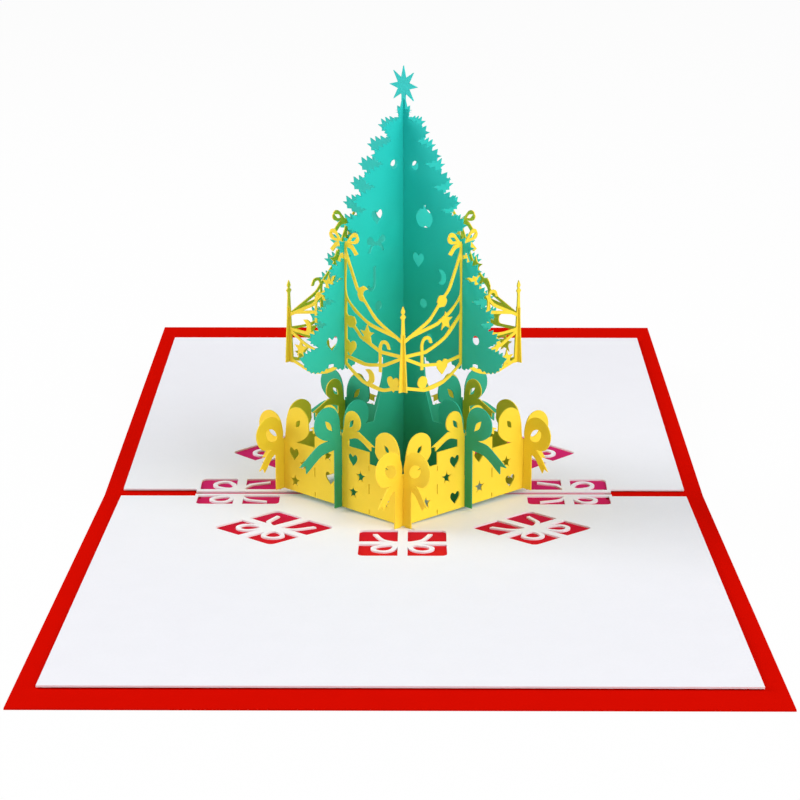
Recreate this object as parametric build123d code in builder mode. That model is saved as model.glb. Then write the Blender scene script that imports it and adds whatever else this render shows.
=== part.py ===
"""Pop-up greeting card: a square folded card that raises a cut-paper fir tree in a ring of gifts.

The card stands open as in use: the front half lies flat and the back half stays a little raised.
Ten flat sheets cross in half-lap slots, so that the whole pop-up shears flat as the card shuts.
The origin is the middle of the outer fold. X runs along the fold, Y to the back, Z up.
Lengths are millimetres and angles degrees.
"""

import os
from math import asin, atan2, cos, degrees, radians, sin, sqrt, tan

from build123d import *

# Folded card
CARD_WIDTH = 150.0  # along the fold
HALF_DEPTH = 150.0  # from the fold to each free edge
OPEN_ANGLE = 175.2  # between the two halves
COVER_THICKNESS = 0.4
BACKING_THICKNESS = 0.3
PAGE_THICKNESS = 0.4
SHEET_THICKNESS = 0.3  # tree, box and garland card

# Pages, and the red border that they leave
SIDE_BORDER = 4.5
FRONT_BORDER = 10.5
BACK_BORDER = 13.5
SPINE_GAP = 2.8  # from the fold to a page, near the sides
BRIDGE_GAP = 1.0  # from the fold to a page, between the side gifts
BRIDGE_SPARE = 0.8  # page beyond a side gift, where it steps back from the fold
BACKING_INSET = 1.5  # backing hidden behind the edge of a page

# Gift windows cut in the pages
GIFT_SIZE = 20.4
GIFT_REACH = 43.4  # card centre to the middle of a gift
SIDE_GIFT_REACH = 41.0  # the two gifts that straddle the fold
SIDE_GIFT_BAND = 5.2
GIFT_BAND = 2.3
BOW_LINE = 1.1
BOW_LOOP_OUT = 4.3
BOW_LOOP_ASIDE = 4.5
BOW_LOOP_RADIUS = 2.9
BOW_KNOT = 0.4  # from the middle of a bow to the start of a loop
BOW_HOLLOW = 0.45  # start of a loop's opening, as a share of the loop
BOW_TAIL_IN = 7.2
BOW_TAIL_ASIDE = 6.5
BOW_TAIL_BULGE = 1.6

# Straight cuts in a round stretch
LOOP_CUTS = 5
TAIL_CUTS = 2
SWAG_CUTS = 3
MOON_CUTS = 5
HOLLOW_CUTS = 3
HOOK_CUTS = 3
DISC_CUTS = 6

# Half-lap slots and tabs
SLOT_CLEARANCE = 0.05
TAB_REACH = 29.8  # fold to the crossing of the two tabbed walls
TAB_START = 0.9  # from that crossing to the tab
TAB_FOOT = 3.0  # glued flat under the page
TAB_CLEARANCE = 0.15
TAB_SLOT_SPARE = 1.2  # length of page slot left open beyond the tab
STAND_CLEARANCE = 0.1

# Gift-box walls
WALL_SPAN = 42.1  # between the two crossings of a wall
WALL_END = 2.8  # strip beyond a crossing
CORNER_GIFT_TOP = 12.8
MIDDLE_GIFT_TOP = 15.8
MIDDLE_GIFT_WIDTH = 19.2
CORNER_LAP = 6.5  # height where two walls meet
TREE_LAP = 8.0  # height where a wall meets the tree
CORNER_LOOP_IN = 5.4
CORNER_LOOP_RISE = 4.9
CORNER_LOOP_RADIUS = 4.2
END_LOOP_OUT = 4.7
END_LOOP_RISE = 2.0
END_LOOP_RADIUS = 4.4
END_TAIL_OUT = 7.4
END_TAIL_DROP = 7.2
END_TAIL_BULGE = 1.0
END_TAIL_WIDTH = 1.9
MIDDLE_LOOP_ASIDE = 3.9
MIDDLE_LOOP_RISE = 6.4
MIDDLE_LOOP_RADIUS = 2.7
MIDDLE_TAIL_ASIDE = 10.8
MIDDLE_TAIL_RISE = 1.0
MIDDLE_TAIL_BULGE = 1.9
MIDDLE_TAIL_WIDTH = 1.7
KNOT_RISE = 2.5
KNOT_WIDTH = 5.0
KNOT_HALF = 0.4  # from the middle of a knot to the start of its ribbons
LOOP_ROOT = 1.6  # a corner loop starts this far below the top of its gift
END_LOOP_START = 0.7  # from a crossing out to the start of its end loop
TAIL_ROOT = 1.2  # an end tail starts this far below the top of its gift
LOOP_EYE = 1.35
EYE_SHARE = 0.87  # place of an opening along its loop
CORNER_EYE_SHARE = 1.0
CORNER_EYE_LENGTH = 2.7
MIDDLE_EYE_LENGTH = 3.0
END_EYE_LENGTH = 3.3
END_EYE_WIDTH = 2.3
WALL_HEART = 3.3
WALL_STAR = 1.75

# Tree slices
TREE_TOP = 95.0  # where the branches reach the stem
TREE_FOOT = 38.0  # height of the lowest branch tips
TREE_REACH = 33.0
TIERS = 11
STAR_SLICE_SWELL = 0.66  # below 1, the branch tips bulge beyond a straight cone
PLAIN_SLICE_SWELL = 0.76
BRANCH_DEPTH = 3.0  # from the lowest branch tip in to the line of notches
NOTCH_SHARE = 0.62  # height of a notch between two branch tips
UPPER_TEETH = 3
LOWER_TEETH = 1
LEAF_TOOTH = 0.15  # height of a leaf tooth, as a share of its branch edge
LEAF_LEAN = 0.3  # place of a tooth's point along its foot, nearer to the branch tip
SKIRT_TOOTH = 0.09
SKIRT_TEETH = 3
SKIRT_LEAVES = 1
SKIRT_HEIGHT = 36.0
STEM_WIDTH = 1.3
STEM_ROOT = 3.0  # stem below the highest branches
SPRIG = 2.6  # slotted top of the slice without a star
STAR_HEIGHT = 100.8
STAR_RADIUS = 4.8
STAR_INNER = 0.42
TRUNK_TOP_WIDTH = 13.6
TRUNK_FLARE = 0.8
TRUNK_LAP = 1.5  # trunk above the foot of the skirt
TRUNK_FOOT_WIDTH = 20.6
BASE_TOP = 19.4
SLICE_LAP = 56.0  # height where the two slices meet
RIBBON_END = 2.5
RIBBON_TOP = 17.0
TREE_LOOP_OUT = 4.9
TREE_LOOP_RISE = 4.9
TREE_LOOP_RADIUS = 4.1
TREE_EYE_LENGTH = 4.0
TREE_EYE_WIDTH = 1.5
TREE_TAIL_REACH = 12.8
TREE_TAIL_DROP = 5.2
TREE_TAIL_BULGE = 1.5
TREE_TAIL_WIDTH = 2.9
TREE_DISC = 2.3
TREE_HEART = 3.7
TREE_MOON = 3.9
TREE_CANE = 5.6
TREE_CANE_WIDTH = 0.9
TREE_BAUBLE = 5.4
TREE_BOW = 6.4

# Garland sheets
GARLAND_SPAN = 39.7
GARLAND_LAP = 50.0  # height where a garland meets the tree
GARLAND_SLOT_FOOT = 30.0  # below the skirt of the tree
GARLAND_LINE = 0.8
GARLAND_STRIP = 1.7
GARLAND_FOOT = 35.6
GARLAND_KNOT = 65.3
KNOT_LOOP_OUT = 3.7
KNOT_LOOP_RISE = 1.7
KNOT_LOOP_RADIUS = 1.35
KNOT_LOOP_EYE = 1.0
KNOT_TAIL_OUT = 4.3
KNOT_TAIL_DROP = 2.2
KNOT_TAIL_BULGE = 0.65
KNOT_TAIL_WIDTH = 1.1
CANDLE_FOOT = 32.6
CANDLE_FOOT_OUT = 2.3
CANDLE_SHOULDER = 44.0
CANDLE_TOP = 50.0
CANDLE_WIDTH = 1.3
CANDLE_TIP_WIDTH = 0.8
CANDLE_CUP = 1.3
CANDLE_CUP_WIDTH = 1.6
CANDLE_NECK = 0.5
CANDLE_FLAME = 1.9
CANDLE_FLAME_WIDTH = 1.1
POST_TOP = 46.4  # slotted end of a sheet without candles
CANDLE_LAP = 38.5
HANGING_BALL = 3.2
HANGING_STAR = 2.4
HANGING_HEART = 3.9
HANGING_MOON = 4.0
HANGING_CANE = 7.6
HANGING_BELL = 4.0
# Swags from the middle strip, as (start height, end as a share of the half sheet, end height, sag)
SWAGS = [
    (63.6, 0.98, 44.6, 3.6),
    (52.8, 0.68, 46.2, 1.6),
    (48.2, 0.98, 41.0, 2.9),
    (37.9, 0.98, 40.6, 2.1),
    (36.0, 0.98, 33.4, 2.9),
]

# Small cut-outs as (shape, distance along the sheet, height). Walls count from the tabbed crossing.
RIGHT_WALL_CUTS = [
    ("star", 7.6, 3.9),
    ("star", 14.7, 8.8),
    ("heart", 17.4, 12.4),
    ("heart", 17.6, 3.2),
    ("star", 26.2, 3.9),
    ("heart", 26.0, 12.0),
    ("star", 35.8, 8.2),
    ("heart", 37.2, 3.2),
]
LEFT_WALL_CUTS = [
    ("star", 6.1, 4.5),
    ("star", 14.4, 9.0),
    ("heart", 17.1, 12.8),
    ("star", 17.0, 4.5),
    ("heart", 25.1, 6.4),
    ("star", 26.0, 11.9),
    ("star", 34.6, 7.5),
    ("star", 37.9, 2.7),
    ("heart", 38.2, 9.8),
]
STAR_SLICE_CUTS = [
    ("disc", 4.0, 82.0),
    ("bauble", 7.2, 69.6),
    ("heart", 5.2, 59.3),
    ("moon", 12.7, 56.0),
    ("disc", 7.0, 48.6),
    ("disc", 9.0, 40.2),
    ("disc", 24.5, 42.4),
]
PLAIN_SLICE_CUTS = [
    ("disc", 3.4, 82.2),
    ("heart", 9.0, 70.4),
    ("bow", 9.4, 63.8),
    ("cane", 10.0, 55.4),
    ("disc", 8.7, 48.3),
    ("heart", 24.0, 41.6),
    ("disc", 13.4, 43.0),
]
# Garland ornaments have a turn too, and count from the middle bow towards the tabbed corner.
RIGHT_GARLAND_ORNAMENTS = [
    ("ball", 6.9, 52.4, 0),
    ("star", 5.7, 47.3, 0),
    ("cane", 13.6, 40.6, 0),
    ("heart", 6.8, 36.6, 0),
    ("ball", 13.4, 33.6, 0),
    ("star", -3.8, 55.9, 0),
    ("cane", -9.0, 48.2, 0),
    ("moon", -11.5, 38.5, 0),
    ("bell", -7.6, 34.6, 0),
    ("star", -15.8, 34.2, 0),
]
LEFT_GARLAND_ORNAMENTS = [
    ("moon", 6.6, 54.0, 165),
    ("ball", 2.4, 46.6, 0),
    ("star", 7.8, 44.4, 0),
    ("heart", 2.0, 40.4, 0),
    ("cane", 12.2, 39.8, 0),
    ("moon", 8.2, 34.0, 0),
    ("heart", 16.6, 34.0, 0),
    ("star", -5.4, 54.6, 0),
    ("ball", -2.4, 46.6, 0),
    ("moon", -13.6, 42.4, 0),
    ("cane", -10.0, 48.0, 0),
    ("bell", -7.8, 34.4, 0),
    ("star", -15.6, 36.6, 0),
]

# The halves meet at the fold, and the pop-up stands on the line that halves their angle.
rise = radians(180 - OPEN_ANGLE)
lean = rise / 2
stack = COVER_THICKNESS + BACKING_THICKNESS + PAGE_THICKNESS
up = Vector(0, -sin(lean), cos(lean))
back = Vector(0, cos(lean), sin(lean))
right = Vector(1, 0, 0)

# The four walls are a rhombus in plan: two corners on the pages, two over the fold.
half_back = TAB_REACH * cos(lean) - stack * sin(lean)
half_right = sqrt(WALL_SPAN**2 - half_back**2)
wall_angle = atan2(half_back, half_right)
crossing = 2 * wall_angle
slot_width = SHEET_THICKNESS * (1 + abs(cos(crossing))) / sin(crossing) + 2 * SLOT_CLEARANCE
end_rise = WALL_END * sin(wall_angle) * tan(lean)
stand = TAB_REACH * sin(lean) + stack * cos(lean) + end_rise + STAND_CLEARANCE
tab_depth = STAND_CLEARANCE + PAGE_THICKNESS + BACKING_THICKNESS / 2
wall_half = WALL_SPAN / 2
bridge_width = 2 * (SIDE_GIFT_REACH + GIFT_SIZE / 2 + BRIDGE_SPARE)
garland_half = GARLAND_SPAN / 2
garland_share = GARLAND_SPAN / WALL_SPAN

# Each half has a plane on its outer face, with sketch Y running away from the fold.
front_plane = Plane(origin=(0, 0, 0), x_dir=(-1, 0, 0), z_dir=(0, 0, 1))
back_plane = Plane(origin=(0, 0, 0), x_dir=(1, 0, 0), z_dir=(0, -sin(rise), cos(rise)))


def sheet_plane(to_right, to_back, share=0.0, side_right=0, side_back=0):
    """Upright sheet running to_right and to_back, its middle moved out by a share of the half ring."""
    run = right * (to_right * half_right) + back * (to_back * half_back)
    out = right * (side_right * half_right / 2) + back * (side_back * half_back / 2)
    return Plane(origin=up * stand + out * share, x_dir=run, z_dir=run.cross(up))


def fold_point(reach, lift):
    """A point of the folded card in the YZ plane: reach from the fold, lift above the outer face."""
    if reach == 0:
        return (-lift * tan(lean), lift)
    if reach < 0:
        return (reach, lift)
    return (reach * cos(rise) - lift * sin(rise), reach * sin(rise) + lift * cos(rise))


def folded_section(front_reach, back_reach, lift, thickness):
    """Closed outline of one folded layer, mitred at the fold."""
    stations = [-front_reach, 0, back_reach]
    lower = [fold_point(reach, lift) for reach in stations]
    upper = [fold_point(reach, lift + thickness) for reach in reversed(stations)]
    return lower + upper


def outline(points):
    """Flat shape inside a closed run of straight cuts."""
    with BuildSketch() as shape:
        with BuildLine():
            Polyline(*points, close=True)
        make_face()
    return shape.sketch


def both_sides(points, size):
    """Symmetrical shape from the points of its right side, given as shares of a size, from the foot up."""
    right_side = [(along * size, height * size) for along, height in points]
    left_side = [(-along, height) for along, height in reversed(right_side) if along > 0]
    return outline(right_side + left_side)


def around(centre, radius, first, last, cuts):
    """Points of a round stretch, from the first angle to the last, in equal straight cuts."""
    angles = [first + (last - first) * cut / cuts for cut in range(cuts + 1)]
    return [Vector(*centre) + Vector(radius, 0).rotate(Axis.Z, angle) for angle in angles]


def petal(root, centre, radius):
    """Bow loop: a round end drawn in to a point at its knot."""
    away = Vector(*centre) - Vector(*root)
    heading = degrees(atan2(away.Y, away.X))
    if away.length <= radius:
        return outline(around(centre, radius, 0, 360, LOOP_CUTS)[1:])
    flank = 90 + degrees(asin(radius / away.length))
    return outline([root] + around(centre, radius, heading - flank, heading + flank, LOOP_CUTS))


def eye(root, centre, length, width, share):
    """Opening of a bow loop, lying along the loop at a share of the way from its knot."""
    way = Vector(*centre) - Vector(*root)
    along = way.normalized() * (length / 2)
    aside = Vector(-way.Y, way.X).normalized() * (width / 2)
    middle = Vector(*root) + way * share
    return outline([middle - along, middle - aside, middle + along, middle + aside])


def ribbon(start, end, bulge, width, cuts, tail=False):
    """Ribbon along an arc that bulges to the left of its way; a tail has a notch cut in its end."""
    way = Vector(*end) - Vector(*start)
    middle = Vector(*start) + way / 2 + Vector(-way.Y, way.X).normalized() * bulge
    arc = Edge.make_three_point_arc(Vector(*start), middle, Vector(*end))
    left_side = []
    right_side = []
    for cut in range(cuts + 1):
        place = arc.position_at(cut / cuts)
        aside = arc.tangent_at(cut / cuts).rotate(Axis.Z, 90) * (width / 2)
        left_side.append(place + aside)
        right_side.append(place - aside)
    notch = [Vector(*end) - arc.tangent_at(1) * (width / 2)] if tail else []
    return outline(left_side + notch + right_side[::-1])


def heart(width):
    """Heart with its point down."""
    points = [(0, -0.55), (0.4, -0.12), (0.5, 0.12), (0.42, 0.34), (0.22, 0.4), (0, 0.22)]
    return both_sides(points, width)


def star(radius, points=5, inner=0.45):
    """Star with one point up."""
    corners = []
    for index in range(2 * points):
        length = radius if index % 2 == 0 else radius * inner
        corners.append(Vector(0, length).rotate(Axis.Z, 180 * index / points))
    return outline(corners)


def moon(height):
    """Crescent that opens to the left."""
    back_edge = around((0, 0), height / 2, -120, 120, MOON_CUTS)
    hollow = around((-0.4 * height, 0), 0.47 * height, 60, -60, HOLLOW_CUTS)
    return outline(back_edge + hollow[1:-1])


def cane(height, width):
    """Candy cane with its hook to the right."""
    hook = 0.2 * height
    bend = (hook, height / 2 - hook)
    outside = around(bend, hook + width / 2, 180, 0, HOOK_CUTS)
    inside = around(bend, hook - width / 2, 0, 180, HOOK_CUTS)
    return outline([(-width / 2, -height / 2)] + outside + inside + [(width / 2, -height / 2)])


def disc(diameter):
    """Round bauble."""
    return outline(around((0, 0), diameter / 2, 0, 360, DISC_CUTS)[1:])


def bauble(width):
    """Wide bauble under a short hanger."""
    points = [(0.3, -0.38), (0.5, -0.1), (0.5, 0.12), (0.3, 0.38), (0.07, 0.42), (0.07, 0.6)]
    return both_sides(points, width)


def bell(height):
    """Bell: a dome that flares to its rim."""
    return both_sides([(0.5, -0.4), (0.29, -0.12), (0.23, 0.26), (0.1, 0.48)], height)


def bow(width):
    """Small ribbon bow: two loops and two tails."""
    with BuildSketch() as shape:
        for side in (-1, 1):
            add(petal((0, 0), (side * 0.32 * width, 0.12 * width), 0.16 * width))
            tip = (side * 0.38 * width, -0.34 * width)
            add(ribbon((0, 0), tip, side * 0.08 * width, 0.14 * width, TAIL_CUTS))
    return shape.sketch


wall_cut = {"heart": heart(WALL_HEART), "star": star(WALL_STAR)}
tree_cut = {
    "disc": disc(TREE_DISC),
    "heart": heart(TREE_HEART),
    "moon": moon(TREE_MOON),
    "cane": mirror(cane(TREE_CANE, TREE_CANE_WIDTH), about=Plane.XZ),
    "bauble": bauble(TREE_BAUBLE),
    "bow": bow(TREE_BOW),
}
ornament = {
    "ball": disc(HANGING_BALL),
    "star": star(HANGING_STAR),
    "heart": heart(HANGING_HEART),
    "moon": moon(HANGING_MOON),
    "cane": cane(HANGING_CANE, GARLAND_LINE),
    "bell": bell(HANGING_BELL),
}


def gift_window(band_width):
    """Windows of one gift with +X away from the card centre: four panes round a ribbon and its bow."""
    half = GIFT_SIZE / 2
    along = GIFT_BAND / 2
    across = band_width / 2
    shift = across - along
    with BuildSketch() as shape:
        with GridLocations(half + along, half + across, 2, 2):
            Rectangle(half - along, half - across)
        for side in (-1, 1):
            knot = (BOW_KNOT, side * (shift + BOW_KNOT))
            loop = (BOW_LOOP_OUT, side * (shift + BOW_LOOP_ASIDE))
            hollow = (BOW_HOLLOW * BOW_LOOP_OUT, side * (shift + BOW_HOLLOW * BOW_LOOP_ASIDE))
            tip = (-BOW_TAIL_IN, side * (shift + BOW_TAIL_ASIDE))
            add(petal(knot, loop, BOW_LOOP_RADIUS), mode=Mode.SUBTRACT)
            add(petal(hollow, loop, BOW_LOOP_RADIUS - BOW_LINE))
            add(ribbon(knot, tip, -side * BOW_TAIL_BULGE, BOW_LINE, TAIL_CUTS), mode=Mode.SUBTRACT)
    return shape.sketch


gift = gift_window(GIFT_BAND)
side_gift = gift_window(SIDE_GIFT_BAND)
tab_length = WALL_END - TAB_START
page_slot_length = tab_length + TAB_SLOT_SPARE + TAB_CLEARANCE
page_slot_width = SHEET_THICKNESS + 2 * TAB_CLEARANCE


def tab_places(along, aside=0.0):
    """The two tabs of one page, as places along each wall end and to its outer side, with their turn."""
    places = []
    for side in (-1, 1):
        run = Vector(side * cos(wall_angle), sin(wall_angle))
        out = Vector(side * sin(wall_angle), -cos(wall_angle))
        centre = Vector(0, TAB_REACH) + run * along + out * aside
        places.append((centre, degrees(atan2(run.Y, run.X))))
    return places


def page(border):
    """One white page, with its gift windows and tab slots; sketch Y runs away from the fold."""
    depth = HALF_DEPTH - border
    with BuildSketch() as shape:
        with Locations((0, (SPINE_GAP + depth) / 2)):
            Rectangle(CARD_WIDTH - 2 * SIDE_BORDER, depth - SPINE_GAP)
        with Locations((0, BRIDGE_GAP)):
            Rectangle(bridge_width, SPINE_GAP, align=(Align.CENTER, Align.MIN))
        with PolarLocations(GIFT_REACH, 3, start_angle=45, angular_range=90, endpoint=True):
            add(gift, mode=Mode.SUBTRACT)
        with PolarLocations(SIDE_GIFT_REACH, 2, angular_range=180, endpoint=True):
            add(side_gift, mode=Mode.SUBTRACT)
        for centre, turn in tab_places(TAB_START - TAB_CLEARANCE + page_slot_length / 2):
            with Locations(centre):
                Rectangle(page_slot_length, page_slot_width, rotation=turn, mode=Mode.SUBTRACT)
    return shape.sketch


def half_lap(along, height, from_top):
    """A slot from the top or the foot of a sheet to just past the height where two sheets meet."""
    reach = 2 * STAR_HEIGHT
    side = 1 if from_top else -1
    with Locations((along, height - side * SLOT_CLEARANCE + side * reach / 2)):
        Rectangle(slot_width, reach)


def wall(cuts, tab_side, slot_from_top):
    """One wall of three gifts, plain if it has no cuts; X runs along it from its middle and Y up."""
    solids = []
    eyes = []
    for side in (-1, 1):
        corner = side * wall_half
        root = (corner - side * KNOT_HALF, CORNER_GIFT_TOP - LOOP_ROOT)
        loop = (corner - side * CORNER_LOOP_IN, CORNER_GIFT_TOP + CORNER_LOOP_RISE)
        solids.append(petal(root, loop, CORNER_LOOP_RADIUS))
        eyes.append(eye(root, loop, CORNER_EYE_LENGTH, LOOP_EYE, CORNER_EYE_SHARE))
        root = (corner + side * END_LOOP_START, CORNER_GIFT_TOP - TAIL_ROOT)
        loop = (corner + side * END_LOOP_OUT, CORNER_GIFT_TOP + END_LOOP_RISE)
        solids.append(petal(root, loop, END_LOOP_RADIUS))
        eyes.append(eye(root, loop, END_EYE_LENGTH, END_EYE_WIDTH, EYE_SHARE))
        tip = (corner + side * END_TAIL_OUT, CORNER_GIFT_TOP - END_TAIL_DROP)
        solids.append(ribbon(root, tip, side * END_TAIL_BULGE, END_TAIL_WIDTH, TAIL_CUTS, tail=True))
        root = (side * KNOT_HALF, MIDDLE_GIFT_TOP + KNOT_RISE - KNOT_HALF)
        loop = (side * MIDDLE_LOOP_ASIDE, MIDDLE_GIFT_TOP + MIDDLE_LOOP_RISE)
        solids.append(petal(root, loop, MIDDLE_LOOP_RADIUS))
        eyes.append(eye(root, loop, MIDDLE_EYE_LENGTH, LOOP_EYE, EYE_SHARE))
        tip = (side * MIDDLE_TAIL_ASIDE, MIDDLE_GIFT_TOP + MIDDLE_TAIL_RISE)
        solids.append(ribbon(root, tip, side * MIDDLE_TAIL_BULGE, MIDDLE_TAIL_WIDTH, TAIL_CUTS, tail=True))
    with BuildSketch() as openings:
        if cuts:
            add(eyes)
        for name, along, height in cuts:
            with Locations((tab_side * (wall_half - along), height)):
                add(wall_cut[name])
        for side in (-1, 1):
            half_lap(side * wall_half, CORNER_LAP, slot_from_top)
        half_lap(0, TREE_LAP, True)
    with BuildSketch() as shape:
        Rectangle(WALL_SPAN + 2 * WALL_END, CORNER_GIFT_TOP, align=(Align.CENTER, Align.MIN))
        Rectangle(MIDDLE_GIFT_WIDTH, MIDDLE_GIFT_TOP, align=(Align.CENTER, Align.MIN))
        with Locations((0, MIDDLE_GIFT_TOP)):
            Rectangle(KNOT_WIDTH, 2 * KNOT_RISE)
        add(solids)
        add(openings.sketch, mode=Mode.SUBTRACT)
        with Locations((tab_side * (wall_half + TAB_START + tab_length / 2), 0)):
            Rectangle(tab_length, 2 * tab_depth)
    return shape.sketch


def toothed(start, end, teeth, share, lean_share=0.5):
    """Points along a row of leaf teeth that stand out to the right of the way from start to end."""
    way = Vector(*end) - Vector(*start)
    out = Vector(way.Y, -way.X) * share
    points = []
    for tooth in range(teeth):
        points.append(Vector(*start) + way * ((tooth + lean_share) / teeth) + out)
        points.append(Vector(*start) + way * ((tooth + 1) / teeth))
    return points


def branches(swell):
    """Right-hand edge of the tree, from the trunk round the skirt and up the branch tips to the stem."""
    stem = STEM_WIDTH / 2
    trunk = (TRUNK_TOP_WIDTH / 2, SKIRT_HEIGHT)
    tip = (TREE_REACH, TREE_FOOT)
    skirt = [Vector(*trunk)] + toothed(trunk, tip, SKIRT_TEETH, SKIRT_TOOTH)
    points = skirt[:1]
    for start, end in zip(skirt, skirt[1:]):
        points += toothed(start, end, SKIRT_LEAVES, LEAF_TOOTH)
    for tier in range(TIERS):
        notch_left = 1 - (tier + NOTCH_SHARE) / TIERS
        tip_left = 1 - (tier + 1) / TIERS
        notch_reach = stem + (TREE_REACH - BRANCH_DEPTH - stem) * notch_left
        notch = (notch_reach, TREE_TOP - (TREE_TOP - TREE_FOOT) * notch_left)
        tip_reach = stem + (TREE_REACH - stem) * tip_left**swell
        next_tip = (tip_reach, TREE_TOP - (TREE_TOP - TREE_FOOT) * tip_left)
        points += toothed(tip, notch, UPPER_TEETH, LEAF_TOOTH, LEAF_LEAN)
        points += toothed(notch, next_tip, LOWER_TEETH, LEAF_TOOTH, 1 - LEAF_LEAN)
        tip = next_tip
    return points


def slice_shape(cuts, swell, with_star):
    """One upright slice of the tree, with trunk, base and the ribbon bows outside the box walls."""
    edge = branches(swell)
    other_edge = [Vector(-point.X, point.Y) for point in reversed(edge)]
    trunk_half = TRUNK_TOP_WIDTH / 2
    trunk_end = SKIRT_HEIGHT + TRUNK_LAP
    waist = (trunk_half + TRUNK_FLARE, (BASE_TOP + SKIRT_HEIGHT) / 2)
    solids = []
    eyes = []
    for side in (-1, 1):
        wall_line = side * wall_half
        for way in (-1, 1):
            root = (wall_line + way * KNOT_HALF, RIBBON_TOP - KNOT_HALF)
            loop = (wall_line + way * TREE_LOOP_OUT, RIBBON_TOP + TREE_LOOP_RISE)
            solids.append(petal(root, loop, TREE_LOOP_RADIUS))
            eyes.append(eye(root, loop, TREE_EYE_LENGTH, TREE_EYE_WIDTH, EYE_SHARE))
        start = (wall_line + side * KNOT_HALF, RIBBON_TOP - KNOT_HALF)
        tip = (wall_line + side * TREE_TAIL_REACH, RIBBON_TOP - TREE_TAIL_DROP)
        solids.append(ribbon(start, tip, side * TREE_TAIL_BULGE, TREE_TAIL_WIDTH, TAIL_CUTS, tail=True))
    with BuildSketch() as openings:
        add(eyes)
        for name, along, height in cuts:
            with Locations((along, height), (-along, height)):
                add(tree_cut[name])
        for side in (-1, 1):
            half_lap(side * wall_half, TREE_LAP, False)
            with Locations((side * garland_half, GARLAND_LAP + SLOT_CLEARANCE)):
                Rectangle(slot_width, GARLAND_LAP - GARLAND_SLOT_FOOT, align=(Align.CENTER, Align.MAX))
        half_lap(0, SLICE_LAP, not with_star)
    with BuildSketch() as shape:
        with BuildLine():
            foot = Line((0, 0), (TRUNK_FOOT_WIDTH / 2, 0))
            panel = Line(foot @ 1, (TRUNK_FOOT_WIDTH / 2, BASE_TOP))
            Polyline(panel @ 1, waist, (trunk_half, SKIRT_HEIGHT), (trunk_half, trunk_end), (0, trunk_end))
            mirror(about=Plane.YZ)
        make_face()
        Rectangle(WALL_SPAN + 2 * RIBBON_END, RIBBON_TOP, align=(Align.CENTER, Align.MIN))
        Rectangle(WALL_SPAN, BASE_TOP, align=(Align.CENTER, Align.MIN))
        add(solids)
        with BuildLine():
            Polyline(*edge, *other_edge, close=True)
        make_face()
        if with_star:
            with Locations((0, TREE_TOP - STEM_ROOT)):
                Rectangle(STEM_WIDTH, STAR_HEIGHT - TREE_TOP + STEM_ROOT, align=(Align.CENTER, Align.MIN))
            with Locations((0, STAR_HEIGHT)):
                add(star(STAR_RADIUS, points=8, inner=STAR_INNER))
        else:
            with Locations((0, TREE_TOP - STEM_ROOT)):
                Rectangle(2 * STEM_WIDTH, STEM_ROOT + SPRIG, align=(Align.CENTER, Align.MIN))
        add(openings.sketch, mode=Mode.SUBTRACT)
    return shape.sketch


def garland(ornaments, with_candles, tab_side):
    """One garland sheet between two corner candles, hung from a bow on the tree's edge."""
    post = [(CANDLE_WIDTH / 2, CANDLE_SHOULDER), (CANDLE_WIDTH / 2, POST_TOP)]
    cup_top = CANDLE_TOP + CANDLE_CUP
    candle = [
        (CANDLE_WIDTH / 2, CANDLE_SHOULDER),
        (CANDLE_TIP_WIDTH / 2, CANDLE_TOP),
        (CANDLE_CUP_WIDTH / 2, CANDLE_TOP + CANDLE_CUP / 2),
        (CANDLE_NECK / 2, cup_top),
        (CANDLE_FLAME_WIDTH / 2, cup_top + CANDLE_FLAME / 3),
        (0, cup_top + CANDLE_FLAME),
    ]
    profile = candle if with_candles else post
    solids = []
    eyes = []
    for side in (-1, 1):
        for start_height, end_share, end_height, sag in SWAGS:
            start = (side * GARLAND_STRIP / 4, start_height)
            end = (side * end_share * garland_half, end_height)
            solids.append(ribbon(start, end, -side * sag, GARLAND_LINE, SWAG_CUTS))
        knot = (side * GARLAND_STRIP / 4, GARLAND_KNOT)
        loop = (side * KNOT_LOOP_OUT, GARLAND_KNOT + KNOT_LOOP_RISE)
        solids.append(petal(knot, loop, KNOT_LOOP_RADIUS))
        eyes.append(eye(knot, loop, 2 * KNOT_LOOP_RADIUS, KNOT_LOOP_EYE, EYE_SHARE))
        tip = (side * KNOT_TAIL_OUT, GARLAND_KNOT - KNOT_TAIL_DROP)
        solids.append(ribbon(knot, tip, side * KNOT_TAIL_BULGE, KNOT_TAIL_WIDTH, TAIL_CUTS))
    with BuildSketch() as openings:
        add(eyes)
        for side in (-1, 1):
            half_lap(side * garland_half, CANDLE_LAP, not with_candles)
        half_lap(0, GARLAND_LAP, True)
    with BuildSketch() as shape:
        with Locations((0, GARLAND_FOOT)):
            Rectangle(GARLAND_STRIP, GARLAND_KNOT - GARLAND_FOOT, align=(Align.CENTER, Align.MIN))
        add(solids)
        for side in (-1, 1):
            corner = side * garland_half
            foot = [(corner - side * CANDLE_WIDTH, CANDLE_FOOT), (corner + side * CANDLE_FOOT_OUT, CANDLE_FOOT)]
            outer = [(corner + side * half, height) for half, height in profile]
            inner = [(corner - side * half, height) for half, height in reversed(profile) if half > 0]
            add(outline(foot + outer + inner))
        for name, along, height, turn in ornaments:
            with Locations(Location((tab_side * along, height), turn)):
                add(ornament[name])
        add(openings.sketch, mode=Mode.SUBTRACT)
    return shape.sketch


# Cover: one red card, creased at the fold
with BuildPart() as cover:
    with BuildSketch(Plane.YZ):
        with BuildLine():
            Polyline(*folded_section(HALF_DEPTH, HALF_DEPTH, 0, COVER_THICKNESS), close=True)
        make_face()
    extrude(amount=CARD_WIDTH / 2, both=True)
cover.part.label = "cover"

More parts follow.
